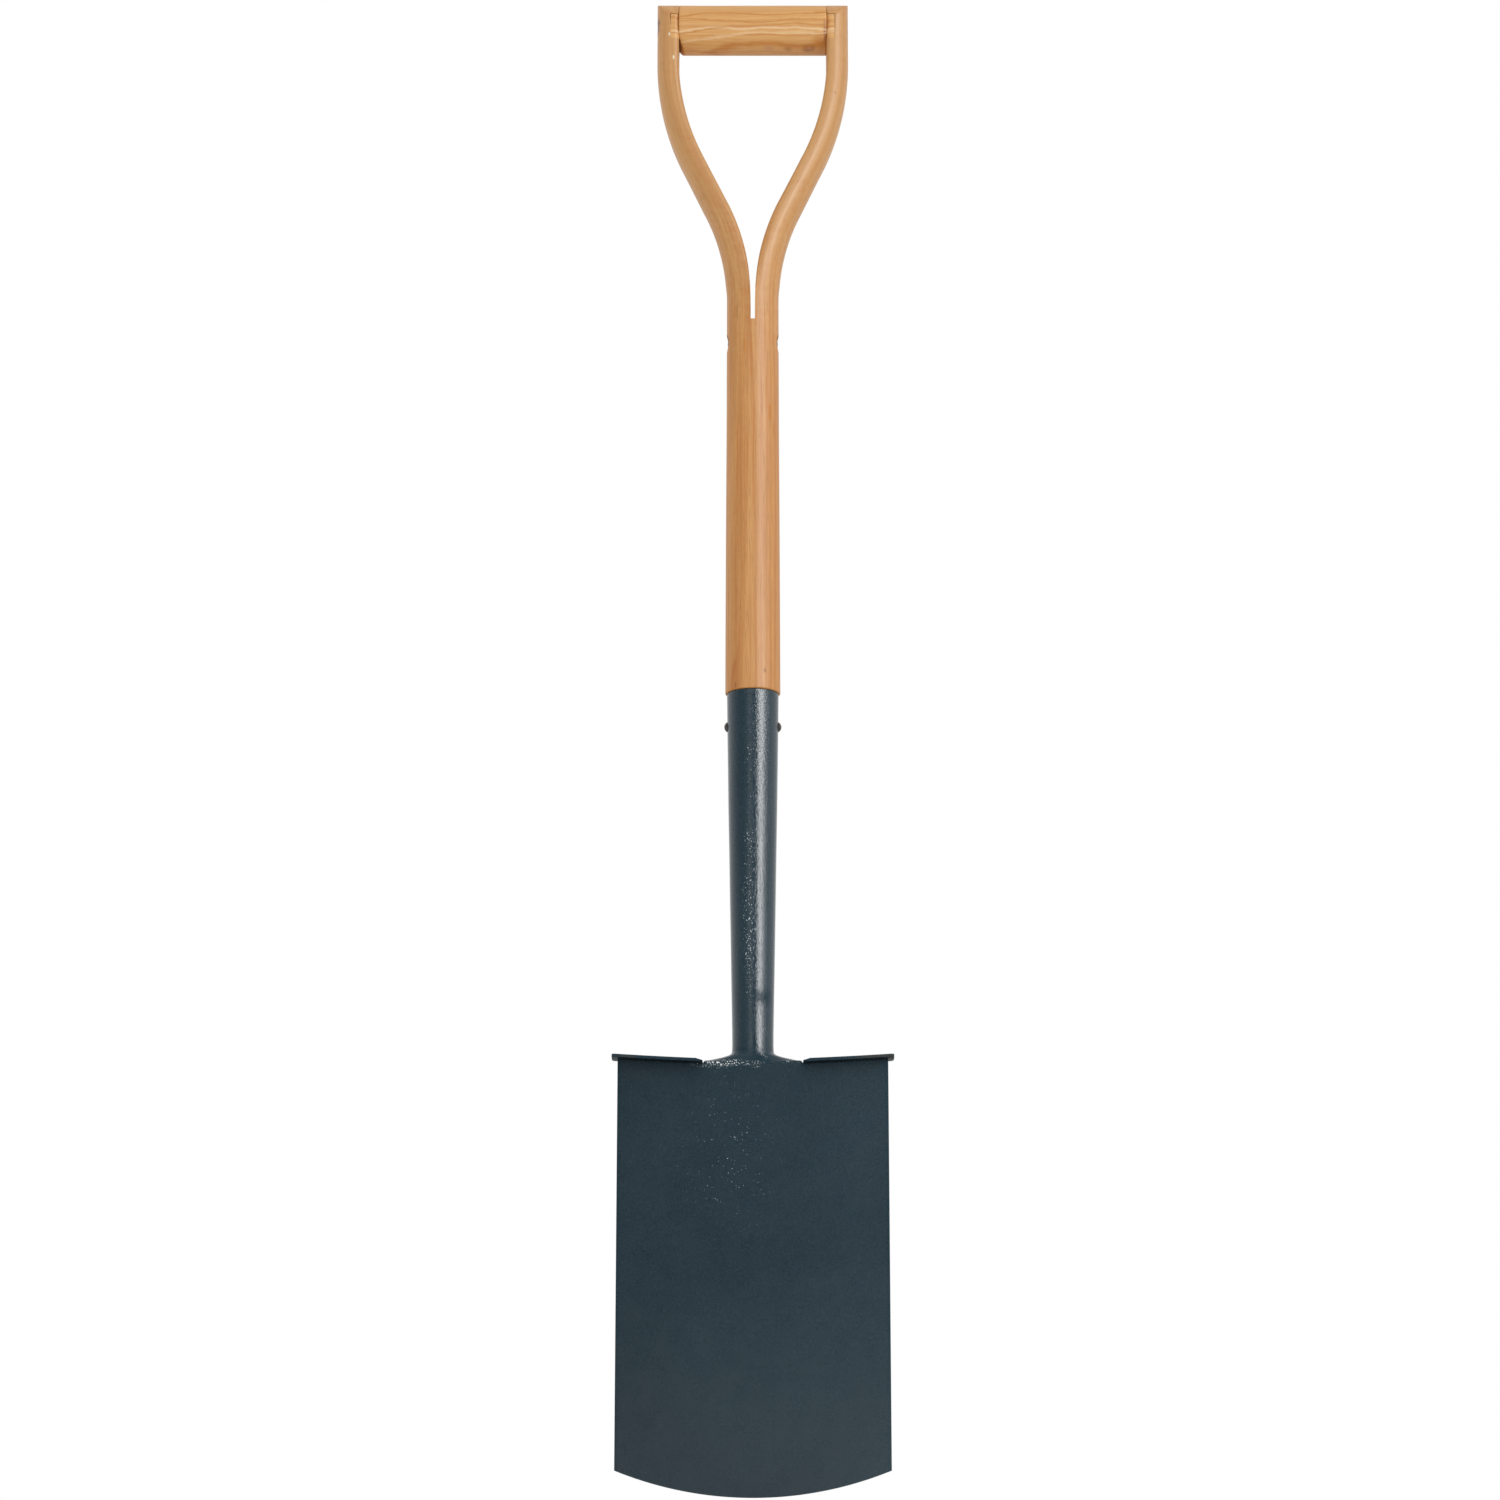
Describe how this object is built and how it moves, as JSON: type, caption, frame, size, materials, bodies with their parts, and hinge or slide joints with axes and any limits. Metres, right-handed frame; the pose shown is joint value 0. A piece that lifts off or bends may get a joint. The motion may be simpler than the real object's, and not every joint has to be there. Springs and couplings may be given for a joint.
{
  "type": "garden spade",
  "caption": "Garden digging spade: dished flat steel blade with foot treads, tapered tube socket and a split ash handle with a turned cross grip.",
  "frame": {"origin": "lowest point of the cutting edge, at mid width, on the front face of the blade", "axes": "+Z from the cutting edge up to the grip, -Y out of the concave working face, X across the width"},
  "size_m": [0.194, 0.0523, 1.0904],
  "materials": {
    "painted_steel": "hammered blue-grey enamel",
    "ash_wood": "clear satin varnish",
    "rivet_steel": "dull bare steel"
  },
  "bodies": {
    "root": {"blade": "painted_steel", "tread_left": "painted_steel", "tread_right": "painted_steel", "tread_weld_left": "painted_steel", "tread_weld_right": "painted_steel", "neck_weld": "painted_steel", "socket": "painted_steel", "socket_seam_weld": "painted_steel", "handle_shaft": "ash_wood", "crossbar": "ash_wood", "socket_rivet": "rivet_steel", "split_rivet": "rivet_steel", "split_rivet_washers": "rivet_steel", "crossbar_rod": "rivet_steel", "crossbar_rod_washers": "rivet_steel"}
  },
  "joints": []
}
